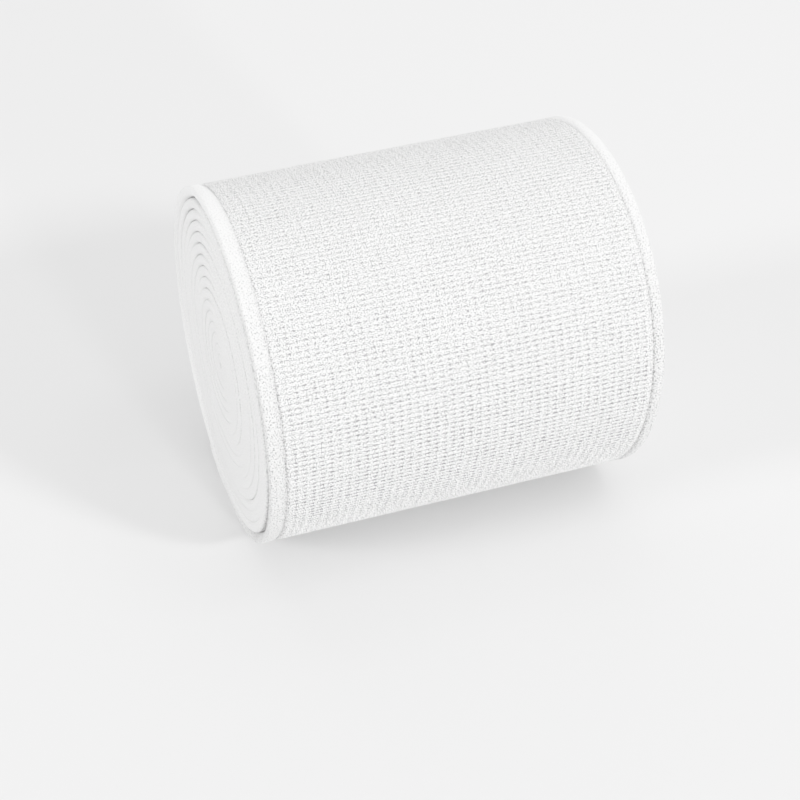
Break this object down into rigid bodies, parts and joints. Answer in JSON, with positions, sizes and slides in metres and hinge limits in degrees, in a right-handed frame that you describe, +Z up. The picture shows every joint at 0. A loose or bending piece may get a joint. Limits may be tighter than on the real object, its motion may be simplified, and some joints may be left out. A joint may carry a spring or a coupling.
{
  "type": "roll of elastic",
  "caption": "Wide flat white elastic band with rounded edge beads, wound on itself into a coreless roll that lies on its side.",
  "frame": {"origin": "on the resting surface, under the middle of the roll's bounding box", "axes": "+X along the roll's axis, from its left round end to its right one; +Z up; -Y is the front, and the band's outer end is behind the foot, towards +Y"},
  "size_m": [0.0502, 0.0454, 0.0457],
  "materials": {
    "white_elastic": "matte white woven elastic with smooth rounded edge beads"
  },
  "bodies": {
    "root": {"elastic_roll": "white_elastic"}
  },
  "joints": []
}
